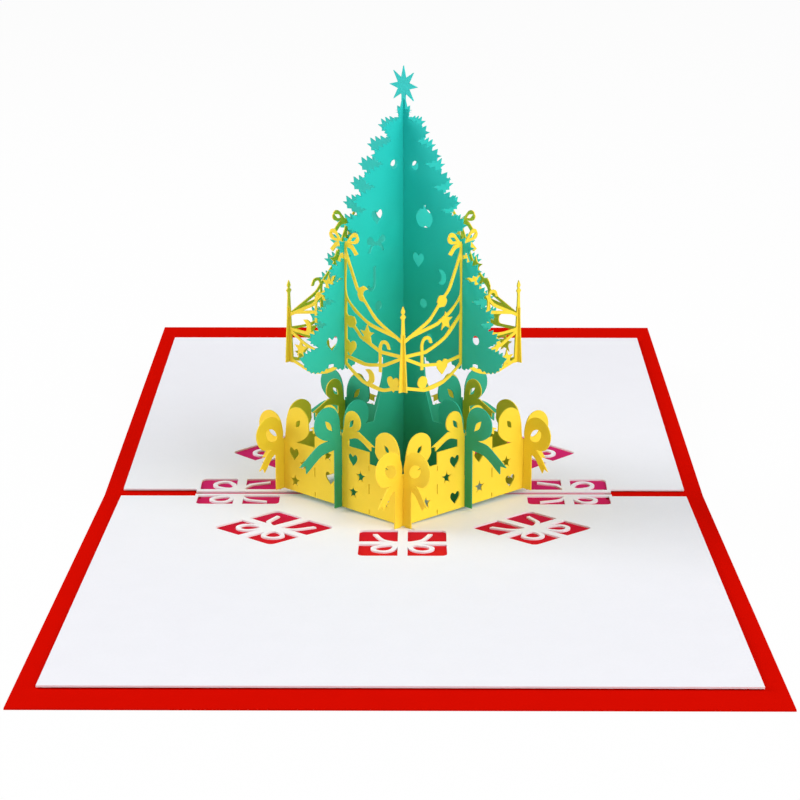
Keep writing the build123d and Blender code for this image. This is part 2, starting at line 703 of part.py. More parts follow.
# Backing: the coloured sheet that shows through the gift windows
tab_pocket_length = tab_length + 2 * TAB_CLEARANCE
tab_pocket_width = TAB_FOOT + SHEET_THICKNESS + 2 * TAB_CLEARANCE
with BuildPart() as backing:
    with BuildSketch(Plane.YZ):
        front_reach = HALF_DEPTH - FRONT_BORDER - BACKING_INSET
        back_reach = HALF_DEPTH - BACK_BORDER - BACKING_INSET
        with BuildLine():
            section = folded_section(front_reach, back_reach, COVER_THICKNESS, BACKING_THICKNESS)
            Polyline(*section, close=True)
        make_face()
    extrude(amount=CARD_WIDTH / 2 - SIDE_BORDER - BACKING_INSET, both=True)
    with BuildSketch(Plane.XY):
        with Locations((-CARD_WIDTH / 2, 0), (CARD_WIDTH / 2, 0)):
            Rectangle(CARD_WIDTH - bridge_width + 2 * BACKING_INSET, 2 * (SPINE_GAP + BACKING_INSET))
    extrude(amount=HALF_DEPTH, both=True, mode=Mode.SUBTRACT)
    for half_plane in (front_plane, back_plane):
        with BuildSketch(half_plane):
            aside = (TAB_FOOT - SHEET_THICKNESS) / 2
            for centre, turn in tab_places((TAB_START + WALL_END) / 2, aside):
                with Locations(centre):
                    Rectangle(tab_pocket_length, tab_pocket_width, rotation=turn)
        extrude(amount=2 * stack, mode=Mode.SUBTRACT)
backing.part.label = "backing"

# White pages
pages = {}
for name, half_plane, border in (
    ("page_front", front_plane, FRONT_BORDER),
    ("page_back", back_plane, BACK_BORDER),
):
    page_shape = page(border)
    with BuildPart() as sheet:
        with BuildSketch(half_plane.offset(COVER_THICKNESS + BACKING_THICKNESS)):
            add(page_shape)
        extrude(amount=PAGE_THICKNESS)
    sheet.part.label = name
    pages[name] = sheet

# Gift-box walls, each with one glued tab under a page
walls = {}
for name, cuts, tab_side, slot_from_top, plane, half_plane, hand in (
    ("box_wall_front_right", RIGHT_WALL_CUTS, -1, False, sheet_plane(1, 1, 1, 1, -1), front_plane, 1),
    ("box_wall_back_left", [], -1, False, sheet_plane(-1, -1, 1, -1, 1), back_plane, 1),
    ("box_wall_front_left", LEFT_WALL_CUTS, 1, True, sheet_plane(1, -1, 1, -1, -1), front_plane, 0),
    ("box_wall_back_right", [], 1, True, sheet_plane(-1, 1, 1, 1, 1), back_plane, 0),
):
    shape = wall(cuts, tab_side, slot_from_top)
    with BuildPart() as sheet:
        with BuildSketch(plane.offset(-SHEET_THICKNESS / 2)):
            add(shape)
        extrude(amount=SHEET_THICKNESS)
        with BuildSketch(half_plane.offset(COVER_THICKNESS)):
            centre, turn = tab_places((TAB_START + WALL_END) / 2, TAB_FOOT / 2)[hand]
            with Locations(centre):
                Rectangle(tab_length, TAB_FOOT, rotation=turn)
        extrude(amount=BACKING_THICKNESS)
    sheet.part.label = name
    walls[name] = sheet

# Tree slices
slices = {}
for name, cuts, swell, with_star, plane in (
    ("tree_slice_star", STAR_SLICE_CUTS, STAR_SLICE_SWELL, True, sheet_plane(1, -1)),
    ("tree_slice_plain", PLAIN_SLICE_CUTS, PLAIN_SLICE_SWELL, False, sheet_plane(-1, -1)),
):
    shape = slice_shape(cuts, swell, with_star)
    with BuildPart() as sheet:
        with BuildSketch(plane.offset(-SHEET_THICKNESS / 2)):
            add(shape)
        extrude(amount=SHEET_THICKNESS)
    sheet.part.label = name
    slices[name] = sheet

# Garland sheets, just inside the walls
garlands = {}
for name, ornaments, with_candles, tab_side, plane in (
    ("garland_front_right", RIGHT_GARLAND_ORNAMENTS, True, -1, sheet_plane(1, 1, garland_share, 1, -1)),
    ("garland_back_left", [], True, -1, sheet_plane(-1, -1, garland_share, -1, 1)),
    ("garland_front_left", LEFT_GARLAND_ORNAMENTS, False, 1, sheet_plane(1, -1, garland_share, -1, -1)),
    ("garland_back_right", [], False, 1, sheet_plane(-1, 1, garland_share, 1, 1)),
):
    shape = garland(ornaments, with_candles, tab_side)
    with BuildPart() as sheet:
        with BuildSketch(plane.offset(-SHEET_THICKNESS / 2)):
            add(shape)
        extrude(amount=SHEET_THICKNESS)
    sheet.part.label = name
    garlands[name] = sheet

os.makedirs("parts", exist_ok=True)
export_step(cover.part, "parts/cover.step")
export_step(backing.part, "parts/backing.step")
for group in (pages, walls, slices, garlands):
    for name, sheet in group.items():
        export_step(sheet.part, f"parts/{name}.step")
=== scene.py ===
# %% [markdown]
# # An open pop-up card
# A square red card lies open on a white table. Its fold lifts a fir tree of crossed paper slices,
# which stands in a ring of paper gifts. Each sheet is one flat piece of dyed card, cut by a
# plotter. The solids of the card are loaded first and stay where they are. Every piece below is
# made from them, so it is in its place from the start.

# %% Load the card's solids
from math import atan2, copysign, cos, degrees, inf, pi, radians, sin
from typing import NamedTuple

import bmesh
import bpy
from mathutils import Matrix, Vector
from mathutils.geometry import intersect_line_line_2d, intersect_point_line


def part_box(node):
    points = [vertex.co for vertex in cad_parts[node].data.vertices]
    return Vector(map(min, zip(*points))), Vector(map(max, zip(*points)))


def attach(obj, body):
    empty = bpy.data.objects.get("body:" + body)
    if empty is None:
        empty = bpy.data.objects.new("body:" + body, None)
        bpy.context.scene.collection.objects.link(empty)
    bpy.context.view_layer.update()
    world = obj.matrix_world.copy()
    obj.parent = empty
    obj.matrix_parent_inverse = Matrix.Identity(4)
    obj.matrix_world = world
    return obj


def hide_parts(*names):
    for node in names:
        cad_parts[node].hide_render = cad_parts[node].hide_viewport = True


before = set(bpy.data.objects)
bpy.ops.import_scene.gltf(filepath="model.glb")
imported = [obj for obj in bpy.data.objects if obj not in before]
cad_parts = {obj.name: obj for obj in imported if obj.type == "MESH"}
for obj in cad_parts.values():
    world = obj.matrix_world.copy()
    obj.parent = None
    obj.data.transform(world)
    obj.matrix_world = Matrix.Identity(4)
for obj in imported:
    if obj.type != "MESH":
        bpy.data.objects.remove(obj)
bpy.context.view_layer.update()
scene = bpy.context.scene
MM = 0.001

# %% [markdown]
# ## Camera
# A picture of a card like this is taken from a little above it and from far in front, with a long
# lens that fills the square frame. A constraint could aim the camera, but then its tilt is hidden.
# So the eye, the tilt and the turn are written out: they set how both halves of the card converge.

# %% Camera
EYE = Vector((2.8, -572.7, 160.1)) * MM
TILT_DOWN = 13.27
TURN_LEFT = 0.37
LENS = 106.66
SENSOR = 36.0
NEAREST = 50 * MM

camera = bpy.data.objects.new("camera", bpy.data.cameras.new("camera"))
camera.data.lens = LENS
camera.data.sensor_width = SENSOR
camera.data.clip_start = NEAREST
camera.location = EYE
camera.rotation_euler = (radians(90 - TILT_DOWN), 0, radians(TURN_LEFT))
scene.collection.objects.link(camera)
scene.camera = camera
scene.view_settings.view_transform = "Standard"
print("camera at", [round(value, 3) for value in camera.location])

# %% [markdown]
# ## Shader sums
# A finish is a small network of nodes. Each sum in it could be wired by hand, which is slow to
# read. So a wire is wrapped in a class with its own plus, minus and times: `1 - mask` then adds
# the node that it needs. One method adds every node, for a finish and for the room alike.


# %% Shader sums
class Wire:
    """An output of a node, which can be used in sums."""

    def __init__(self, network, socket):
        self.network = network
        self.socket = socket

    def sum_node(self, operation, first, second):
        terms = {0: first, 1: second}
        return self.network.node("ShaderNodeMath", {"operation": operation}, terms)

    def __add__(self, other):
        return self.sum_node("ADD", self, other)

    __radd__ = __add__

    def __sub__(self, other):
        return self.sum_node("SUBTRACT", self, other)

    def __rsub__(self, other):
        return self.sum_node("SUBTRACT", other, self)

    def __mul__(self, other):
        return self.sum_node("MULTIPLY", self, other)

    __rmul__ = __mul__


class Network:
    """The nodes of a finish or of the room, with one method that adds any of them."""

    def __init__(self, tree):
        self.tree = tree

    def node(self, kind, settings=None, inputs=None, output=0):
        """Add a node: its settings first, then the values or wires of its sockets."""
        made = self.tree.nodes.new(kind)
        for name, value in (settings or {}).items():
            if name == "stops":
                self.set_stops(made.color_ramp, value)
            else:
                setattr(made, name, value)
        for name, value in (inputs or {}).items():
            self.feed(made.inputs[name], value)
        return Wire(self, made.outputs[output])

    def set_stops(self, ramp, stops):
        while len(ramp.elements) < len(stops):
            ramp.elements.new(0.5)
        for element, (place, colour) in zip(ramp.elements, stops):
            element.position = place
            element.color = colour

    def feed(self, socket, value):
        if isinstance(value, Wire):
            self.tree.links.new(value.socket, socket)
        else:
            socket.default_value = value


class Finish(Network):
    """A material with a Principled shader."""

    def __init__(self, name):
        self.material = bpy.data.materials.new(name)
        self.material.use_nodes = True
        super().__init__(self.material.node_tree)
        self.shader = self.tree.nodes["Principled BSDF"]

    def set(self, **inputs):
        """Set sockets of the shader, named in lower case with underscores."""
        names = {name.lower().replace(" ", "_"): name for name in self.shader.inputs.keys()}
        for name, value in inputs.items():
            self.feed(self.shader.inputs[names[name]], value)


# %% [markdown]
# ## Screen colours
# A dye is matched on a screen, in steps of 0 to 255. A shader counts light instead, which
# grows much faster than the steps do, so every colour below is written as seen and converted once.


# %% Screen colours
def light_of(step):
    """Light of one screen step from 0 to 255, by the usual curve of a screen."""
    share = step / 255
    return share / 12.92 if share <= 0.04045 else ((share + 0.055) / 1.055) ** 2.4


def linear(red, green, blue):
    """A colour as seen on a screen, as the light values that a shader takes."""
    return (light_of(red), light_of(green), light_of(blue), 1.0)


print("light of a middle grey", round(light_of(128), 3))

# %% [markdown]
# ## Light
# Paper shows its colour best in soft light. A picture of a studio could light the scene, but it
# would have to be read from disk, so three large soft boxes do. One is at the front right. One is
# at the left and a little behind the card, so the sheets that face left are in part shade. A weak
# one above lights the pages. The room around them is a dim even white.

# %% Light
LAMP_DISTANCE = 1.3
ROOM_LEVEL = 0.26
WHITE = (1.0, 1.0, 1.0, 1.0)


def soft_box(name, turn, rise, size, level):
    """A square lamp at a turn to the right and a rise; level 1 lights white as white."""
    flat, height = cos(radians(rise)), sin(radians(rise))
    way = Matrix.Rotation(radians(turn), 3, "Z") @ Vector((0, -flat, height))
    lamp = bpy.data.objects.new(name, bpy.data.lights.new(name, "AREA"))
    lamp.data.size = size
    lamp.data.energy = level * pi**2 * LAMP_DISTANCE**2
    lamp.location = way * LAMP_DISTANCE
    lamp.rotation_euler = way.to_track_quat("Z", "Y").to_euler()
    scene.collection.objects.link(lamp)
    print(name, "watts", round(lamp.data.energy, 2))


soft_box("right_soft_box", turn=50, rise=28, size=1.2, level=0.75)
soft_box("top_soft_box", turn=0, rise=85, size=1.6, level=0.35)
soft_box("left_soft_box", turn=-100, rise=25, size=0.9, level=0.68)

room = bpy.data.worlds.new("room")
room.use_nodes = True
scene.world = room
room_light = Network(room.node_tree)
seen = room_light.node("ShaderNodeLightPath", output="Is Camera Ray")
background = room.node_tree.nodes["Background"]
room_light.feed(background.inputs["Strength"], ROOM_LEVEL + seen * (1 - ROOM_LEVEL))
room_light.feed(background.inputs["Color"], WHITE)

# %% [markdown]
# ## Table
# The card lies on a white table. Lit as paper is, the table would come out grey, and more light
# would wash out the card. So what the camera sees of it is mostly a glow of plain white, and the
# rest is a matt surface that keeps a faint shadow of the card.

# %% Table
TABLE_REACH = 3.0
TABLE_DROP = 0.05 * MM
TABLE_GLOW = 0.96
TABLE_COLOUR = (0.9, 0.9, 0.9, 1.0)

table_mesh = bmesh.new()
bmesh.ops.create_grid(table_mesh, x_segments=1, y_segments=1, size=TABLE_REACH)
bmesh.ops.translate(table_mesh, verts=table_mesh.verts, vec=(0, 0, -TABLE_DROP))
table_data = bpy.data.meshes.new("table")
table_mesh.to_mesh(table_data)
table_mesh.free()
table = bpy.data.objects.new("table", table_data)
scene.collection.objects.link(table)

table_white = Finish("table_white")
table_white.set(base_color=TABLE_COLOUR, roughness=0.9, specular_ior_level=0.0)
camera_ray = table_white.node("ShaderNodeLightPath", output="Is Camera Ray")
glossy_ray = table_white.node("ShaderNodeLightPath", output="Is Glossy Ray")
matt = Wire(table_white, table_white.shader.outputs[0])
glow = table_white.node("ShaderNodeEmission")
glow_share = (camera_ray + glossy_ray) * TABLE_GLOW
table_top = table_white.node("ShaderNodeMixShader", None, {0: glow_share, 1: matt, 2: glow})
table_white.feed(table_white.tree.nodes["Material Output"].inputs[0], table_top)
table_data.materials.append(table_white.material)
print("table reaches", TABLE_REACH, "m to each side")

# %% [markdown]
# ## Dyed card
# Each sheet is dyed through, so its colour is even, with a faint cloudiness of the pulp and a fine
# tooth of fibres that catches the light. One flat colour would look like plastic, and a scan of
# paper would need a picture. So both come from noise in the object's own coordinates, which needs
# no unwrapping and has the same scale on every sheet.

# %% Dyed card
FIBRE_SCALE = 2400.0
FIBRE_DETAIL = 3.0
FIBRE_SHADE = 0.06
CLOUD_SCALE = 140.0
CLOUD_DETAIL = 4.0
CLOUD_GLOSS = 0.2
TOOTH_DEPTH = 0.03 * MM
TOOTH_STRENGTH = 0.35
NOISE_MIDDLE = 0.5


def paper_noise(card, place, scale, detail):
    """Noise over a sheet, from 0 to 1."""
    inputs = {"Vector": place, "Scale": scale, "Detail": detail}
    return card.node("ShaderNodeTexNoise", None, inputs)


def dyed_card(name, colour, roughness=0.62, cloudiness=0.08, sheen=0.3):
    """Card stock of one colour, or of a colour that a function paints over the sheet."""
    card = Finish(name)
    place = card.node("ShaderNodeTexCoord", output="Object")
    fibre = paper_noise(card, place, FIBRE_SCALE, FIBRE_DETAIL)
    cloud = paper_noise(card, place, CLOUD_SCALE, CLOUD_DETAIL)
    paint = colour(card, place) if callable(colour) else colour
    shade = 1 + (cloud - NOISE_MIDDLE) * cloudiness + (fibre - NOISE_MIDDLE) * FIBRE_SHADE
    toned = card.node("ShaderNodeHueSaturation", None, {"Color": paint, "Value": shade})
    fibres = {"Height": fibre, "Strength": TOOTH_STRENGTH, "Distance": TOOTH_DEPTH}
    tooth = card.node("ShaderNodeBump", None, fibres)
    gloss = roughness + (cloud - NOISE_MIDDLE) * CLOUD_GLOSS
    card.set(base_color=toned, roughness=gloss, normal=tooth, specular_ior_level=sheen)
    return card.material


print("fibres", round(1 / FIBRE_SCALE / MM, 2), "mm, clouds", round(1 / CLOUD_SCALE / MM, 1), "mm")

# %% [markdown]
# ## Colours of the sheets
# The tree runs from turquoise at its star to a darker green at its foot. This run is partly the
# card's own colour and partly painted bounce light from the yellow walls round its foot. The sheet
# behind the gift windows runs from red at the front of the card to pink at its sides. Such a run
# could be painted on the points of a mesh, but flat sheets have few points. A ramp along one axis
# of the object needs none. The other sheets are one colour each, and a cut edge is darker than the
# face beside it.

# %% Colours of the sheets
# Turquoise to green up the tree: partly the card's colour, partly painted bounce light from the
# yellow walls.
TREE_STOPS_WITH_PAINTED_BOUNCE = [
    (0.0, linear(48, 146, 90)),
    (0.3, linear(40, 186, 158)),
    (0.6, linear(30, 200, 185)),
    (1.0, linear(33, 202, 197)),
]
GIFT_STOPS = [
    (0.0, linear(222, 26, 20)),
    (0.45, linear(200, 16, 46)),
    (1.0, linear(204, 36, 104)),
]
GIFT_FRONT = -56 * MM
GIFT_SIDES = 6 * MM


def colour_run(card, place, axis, start, end, stops):
    """A ramp of colours between two places on an axis of the card."""
    along = card.node("ShaderNodeSeparateXYZ", None, {"Vector": place}, axis)
    limits = {"Value": along, "From Min": start, "From Max": end}
    share = card.node("ShaderNodeMapRange", {"clamp": True}, limits)
    return card.node("ShaderNodeValToRGB", {"stops": stops}, {"Fac": share})


def tree_colour_with_painted_bounce(card, place):
    # The ramp holds painted bounce light from the yellow walls as well as the card's own colour.
    low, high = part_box("tree_slice_star")
    return colour_run(card, place, "Z", low[2], high[2], TREE_STOPS_WITH_PAINTED_BOUNCE)


def gift_colour(card, place):
    return colour_run(card, place, "Y", GIFT_FRONT, GIFT_SIDES, GIFT_STOPS)


def dress(mesh, *cards):
    """Give a mesh its cards in place of any others."""
    mesh.materials.clear()
    for card in cards:
        mesh.materials.append(card)


red_card = dyed_card("red_card", linear(210, 12, 2), roughness=0.8, sheen=0.0)
white_card = dyed_card("white_card", linear(243, 243, 249), cloudiness=0.02)
gift_card = dyed_card("gift_card", gift_colour, roughness=0.8, sheen=0.05)
tree_card = dyed_card("tree_card", tree_colour_with_painted_bounce, roughness=0.55)
tree_edge = dyed_card("tree_edge", linear(18, 84, 68))
yellow_card = dyed_card("yellow_card", linear(255, 221, 56))
yellow_edge = dyed_card("yellow_edge", linear(206, 140, 20))
white_edge = dyed_card("white_edge", linear(226, 222, 218))
dress(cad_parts["cover"].data, red_card)
dress(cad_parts["backing"].data, gift_card)
print("finishes", len(bpy.data.materials))

# %% [markdown]
# ## Plotter-cut sheets
# A plotter draws each outline as smooth curves, with sharp corners only where the blade turns. The
# solids hold the same outlines as short straight cuts. Subdividing the solids would round their
# corners too. So the rim of each flat solid is read as closed loops of points, which the next cells
# turn into curves.

# %% Outline of a sheet
MERGE = 0.0001 * MM
FACING = 0.99
LIES_FLAT = 0.5


def widest_face(node):
    """The largest flat face of a solid."""
    return max(node.data.polygons, key=lambda face: face.area)


page_ups = [widest_face(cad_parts[name]).normal for name in ("page_front", "page_back")]
upright = sum((up if up.z > 0 else -up for up in page_ups), Vector()).normalized()
print("line that the pop-up stands along", [round(value, 3) for value in upright])


def sheet_place(node):
    """The plane of a sheet, as a matrix with its front face at height 0, and its thickness."""
    widest = widest_face(node)
    normal = widest.normal.copy()
    lies_flat = abs(normal.dot(upright)) > LIES_FLAT
    along = Vector((1, 0, 0)) if lies_flat else upright.cross(normal)
    rise = normal.cross(along)
    front = widest.center.dot(normal)
    behind = [face for face in node.data.polygons if face.normal.dot(normal) < -FACING]
    thickness = front - max(behind, key=lambda face: face.area).center.dot(normal)
    axes = Matrix((along, rise, normal)).transposed().to_4x4()
    return Matrix.Translation(normal * front) @ axes, thickness


def is_front(face):
    """True for a face on the front of a sheet that lies at height 0."""
    return face.normal.z >= FACING and abs(face.calc_center_median().z) <= MERGE


def rim_loops(node, place):
    """Closed loops of points round the front face of a sheet and its openings."""
    sheet = bmesh.new()
    sheet.from_mesh(node.data)
    bmesh.ops.remove_doubles(sheet, verts=sheet.verts, dist=MERGE)
    bmesh.ops.transform(sheet, matrix=place.inverted(), verts=sheet.verts)
    sheet.normal_update()
    others = [face for face in sheet.faces if not is_front(face)]
    bmesh.ops.delete(sheet, geom=others, context="FACES")
    sheet.edges.index_update()
    rim = {edge.index: edge for edge in sheet.edges if edge.is_boundary}
    loops = []
    while rim:
        start, corner = rim.popitem()[1].verts
        points = [start.co.xy.copy()]
        while corner is not start:
            points.append(corner.co.xy.copy())
            edge = next(edge for edge in corner.link_edges if edge.index in rim)
            del rim[edge.index]
            corner = edge.other_vert(corner)
        loops.append(points)
    sheet.free()
    return loops


# %% [markdown]
# ## Corners and curves
# Each loop becomes a Bezier curve. Blender could set its handles by itself, but its automatic ones
# overshoot where a long cut meets a short one. So each handle is worked out: a gentle turn gets one
# that is short enough for the shorter cut, and a sharp turn stays a corner. The eye of a bow is the
# one exception. It has four points in the solids, and is cut as an oval or as a leaf.

# %% Corners and curves
ROUND_TURN = 64.0
HANDLE_SHARE = 0.35
LENS_SHARE = 1.15
SIDE_SHARE = 2.0
WIDE_EYE = 2 * MM
EYE_POINTS = 4


def cuts_at(points, index):
    """The cuts of a loop before and after one of its points."""
    return points[index] - points[index - 1], points[(index + 1) % len(points)] - points[index]


def turn_at(points, index):
    """Turn of a loop at one of its points, in degrees."""
    before, after = cuts_at(points, index)
    return abs(degrees(atan2(before.cross(after), before.dot(after))))


def smooth_handle(points, index):
    """Handle along a loop at a smooth point, short enough for the shorter of its two cuts."""
    before, after = cuts_at(points, index)
    reach = HANDLE_SHARE * min(before.length, after.length)
    return (before.normalized() + after.normalized()).normalized() * reach


def eye_spans(points):
    """Both spans of a lozenge, which stands for the eye of a bow, or None for any other loop."""
    if len(points) != EYE_POINTS:
        return None
    sides = [(points[index] - points[index - 1]).length for index in range(EYE_POINTS)]
    spans = [(points[index + 2] - points[index]).length for index in (0, 1)]
    even = max(sides) < SIDE_SHARE * min(sides)
    return spans if even and max(spans) > LENS_SHARE * min(spans) else None


def eye_rounds(points):
    """Points of an eye that are cut round: all of a wide one, the two sides of a narrow one."""
    spans = eye_spans(points)
    if spans is None:
        return ()
    if min(spans) > WIDE_EYE:
        return (0, 1, 2, 3)
    return (0, 2) if spans[0] < spans[1] else (1, 3)


print("turns above", ROUND_TURN, "degrees stay corners")

# %% [markdown]
# ## Crowded cuts
# In places only a hair of card is left between two cuts. A curve that bulges there could touch the
# next one, and Blender then fills the sheet with stray faces. Finer handles would only make that
# rarer. So the cuts that run side by side are found first, and stay straight.

# %% Crowded cuts
CLOSE = 0.4 * MM


class Cut(NamedTuple):
    """A straight cut: its loop, its number there, and its ends."""

    loop: int
    number: int
    start: Vector
    end: Vector
    left: float
    right: float


def all_cuts(loops):
    """Every cut of a sheet, sorted from left to right."""
    cuts = []
    for loop, points in enumerate(loops):
        for number, start in enumerate(points):
            end = points[(number + 1) % len(points)]
            left, right = sorted((start.x, end.x))
            cuts.append(Cut(loop, number, start, end, left, right))
    return sorted(cuts, key=lambda cut: cut.left)


def spot_gap(spot, cut):
    """Distance of a point from a cut."""
    share = intersect_point_line(spot, cut.start, cut.end)[1]
    return (cut.start.lerp(cut.end, min(1, max(0, share))) - spot).length


def cut_gap(cut, other):
    """Distance between two cuts that don't cross."""
    gaps = [spot_gap(spot, other) for spot in (cut.start, cut.end)]
    return min(gaps + [spot_gap(spot, cut) for spot in (other.start, other.end)])


def crowded_cuts(loops):
    """Loop and number of each cut that runs so near another one that a bulge might touch it."""
    crowded = set()
    cuts = all_cuts(loops)
    for place, cut in enumerate(cuts):
        neighbour_steps = (1, len(loops[cut.loop]) - 1)
        for other in cuts[place + 1 :]:
            if other.left > cut.right + CLOSE:
                break
            if other.loop == cut.loop and abs(other.number - cut.number) in neighbour_steps:
                continue
            if cut_gap(cut, other) < CLOSE:
                crowded |= {(cut.loop, cut.number), (other.loop, other.number)}
    return crowded


print("cuts less than", round(CLOSE / MM, 2), "mm apart stay straight")

# %% [markdown]
# ## Cutting a sheet
# Blender fills a flat curve, leaves its inner loops open and gives it the thickness of the sheet,
# so no list of faces has to be worked out. The filled curve is made a mesh, its doubles are merged,
# and its faces and cut edges get a card each. Then it is laid in the plane of its solid.

# %% Trace an outline
CURVE_STEPS = 4


def trace_loop(curve, points, straight, sharp_above):
    """Add a loop to a curve, with the cuts in straight and the points above a height sharp."""
    spline = curve.splines.new("BEZIER")
    spline.bezier_points.add(len(points) - 1)
    spline.use_cyclic_u = True
    for knot, point in zip(spline.bezier_points, points):
        knot.co = (*point, 0)
    round_points = eye_rounds(points)
    for index, knot in enumerate(spline.bezier_points):
        point = points[index]
        corner = turn_at(points, index) > ROUND_TURN and index not in round_points
        sharp = corner or point.y > sharp_above
        sharp_before = sharp or (index - 1) % len(points) in straight
        sharp_after = sharp or index in straight
        knot.handle_left_type = "VECTOR" if sharp_before else "FREE"
        knot.handle_right_type = "VECTOR" if sharp_after else "FREE"
        handle = smooth_handle(points, index)
        if not sharp_before:
            knot.handle_left = (*(point - handle), 0)
        if not sharp_after:
            knot.handle_right = (*(point + handle), 0)


def flat_curve(name, loops, thickness, sharp_above):
    """Mesh of a filled curve through the loops, with the sheet's thickness."""
    curve = bpy.data.curves.new(name, "CURVE")
    curve.dimensions = "2D"
    curve.fill_mode = "BOTH"
    curve.extrude = thickness / 2
    curve.resolution_u = CURVE_STEPS
    longest = max(loops, key=len)
    crowded = crowded_cuts(loops)
    for loop, points in enumerate(loops):
        straight = {number for crowded_loop, number in crowded if crowded_loop == loop}
        trace_loop(curve, points, straight, sharp_above if points is longest else inf)
    outline = bpy.data.objects.new(name, curve)
    scene.collection.objects.link(outline)
    bpy.context.view_layer.update()
    mesh = bpy.data.meshes.new_from_object(outline)
    bpy.data.objects.remove(outline)
    bpy.data.curves.remove(curve)
    return mesh


# %% Cut a sheet
def place_sheet(node_name, mesh):
    """Put a finished sheet in the scene in place of its solid."""
    piece = bpy.data.objects.new(f"{node_name}_cut", mesh)
    scene.collection.objects.link(piece)
    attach(piece, "root")
    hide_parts(node_name)
    solid_area = sum(face.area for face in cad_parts[node_name].data.polygons)
    share = sum(face.area for face in mesh.polygons) / solid_area
    print(piece.name, "faces", len(mesh.polygons), "area as a share of its solid", round(share, 3))
    return piece


def cut_sheet(node_name, face_card, edge_card, slot, trim, sharp_above=inf):
    """A smooth sheet in place of a solid one, with its cut edges in a card of their own."""
    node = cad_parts[node_name]
    place, thickness = sheet_place(node)
    loops = trim(rim_loops(node, place))
    mesh = flat_curve(f"{node_name}_cut", loops, thickness, sharp_above)
    sheet = bmesh.new()
    sheet.from_mesh(mesh)
    bmesh.ops.remove_doubles(sheet, verts=sheet.verts, dist=MERGE)
    bmesh.ops.recalc_face_normals(sheet, faces=sheet.faces)
    for face in sheet.faces:
        face.material_index = 0 if abs(face.normal.z) > LIES_FLAT else 1
        face.smooth = False
    middle = place @ Matrix.Translation((0, 0, -thickness / 2))
    bmesh.ops.transform(sheet, matrix=middle, verts=sheet.verts)
    sheet.to_mesh(mesh)
    sheet.free()
    dress(mesh, face_card, edge_card)
    return place_sheet(node_name, mesh)


# %% [markdown]
# ## Pages
# The gift windows were punched in the white pages with slightly rounded outer corners. A bevel
# would round the inner corners by the ribbons too, which are sharp. So only a corner that is
# farthest from the middle of its window is cut short, and the curve then rounds it.

# %% Pages
CORNER_CUT = 0.9 * MM
FARTHEST = 0.999


def middle_of(points):
    """Mean of the points of a loop."""
    return sum(points, Vector((0, 0))) / len(points)


def cut_corners(points):
    """Cut the farthest corners of a window short."""
    centre = middle_of(points)
    far = FARTHEST * max((point - centre).length for point in points)
    window = []
    for index, point in enumerate(points):
        before, after = cuts_at(points, index)
        long_sides = min(before.length, after.length) > 2 * CORNER_CUT
        if long_sides and (point - centre).length > far:
            window.append(point - before.normalized() * CORNER_CUT)
            window.append(point + after.normalized() * CORNER_CUT)
        else:
            window.append(point)
    return window


def round_windows(loops):
    """Rounder corners in every opening of a page, but not round the page itself."""
    page_rim = max(loops, key=lambda points: max(point.x for point in points))
    return [points if points is page_rim else cut_corners(points) for points in loops]


for page in ("page_front", "page_back"):
    cut_sheet(page, white_card, white_edge, "page_card", round_windows)

# %% [markdown]
# ## Gift boxes
# Three gifts stand side by side in each wall, and a broken cut between two of them lets the wall
# bend. It could be a dark line in the material, but a real slit shows from any side. So each broken
# cut is three narrow slits, added as loops of their own. The wide eyes of the corner bows are cut
# as ovals, a little larger than in the solids.

# %% Gift boxes
EYE_OPEN = 1.3
SLIT_WIDTH = 0.3 * MM
SLIT_AWAY = 9.6 * MM
SLITS = [(0.25, 1.4), (5.3, 7.8), (11.2, 12.5)]
star_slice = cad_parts["tree_slice_star"]
star_place, slice_thickness = sheet_place(star_slice)
stand = min(point.y for points in rim_loops(star_slice, star_place) for point in points)


def open_eye(points):
    """Widen the eye of a corner bow; any other loop stays."""
    spans = eye_spans(points)
    if spans is None or min(spans) < WIDE_EYE:
        return points
    centre = middle_of(points)
    return [centre + (point - centre) * EYE_OPEN for point in points]


def slit(along, low, high):
    """Outline of a slit in a wall, between two heights in mm above the pages."""
    left, right = along - SLIT_WIDTH / 2, along + SLIT_WIDTH / 2
    corners = [(left, low), (right, low), (right, high), (left, high)]
    return [Vector((side, stand + height * MM)) for side, height in corners]


def dress_wall(loops):
    """Wider eyes in the corner bows, and broken cuts between the gifts of a wall."""
    loops = [open_eye(points) for points in loops]
    places = [point.x for points in loops for point in points]
    middle = (min(places) + max(places)) / 2
    for along in (middle - SLIT_AWAY, middle + SLIT_AWAY):
        loops += [slit(along, low, high) for low, high in SLITS]
    return loops


wall_right = cut_sheet("box_wall_front_right", yellow_card, yellow_edge, "box_card", dress_wall)
wall_left = cut_sheet("box_wall_front_left", yellow_card, yellow_edge, "box_card", dress_wall)

# %% [markdown]
# ## Garlands
# Swags of thin card hang from a bow on the tree to the corner candles, with small ornaments on
# them. In the solids the second strand of a swag stops just short of the first, and the feet of the
# candles are wide. New strands could be drawn on top, but two sheets would then lie in one place.
# So the outline itself is mended: the opening round the free end becomes two openings, with the
# strand running on between them, and the feet are drawn in.

# %% Joined strands
STRAND_END = Vector((13.5, 48.73)) * MM
END_NEAR = 0.3 * MM
STRAND_RUN = 6 * MM


def strand_end(points):
    """The corner where the cut across a strand's free end starts, or None."""
    for index, point in enumerate(points):
        middle = (point + points[(index + 1) % len(points)]) / 2
        if (Vector((abs(middle.x), middle.y)) - STRAND_END).length < END_NEAR:
            return index
    return None


def run_on(behind, corner, points):
    """Where a strand's edge, run on past its corner, meets the outline, and the cut it meets."""
    reach = corner + (corner - behind).normalized() * STRAND_RUN
    for index in range(1, len(points) - 2):
        spot = intersect_line_line_2d(corner, reach, points[index], points[index + 1])
        if spot:
            return spot, index
    raise ValueError("the strand meets nothing")


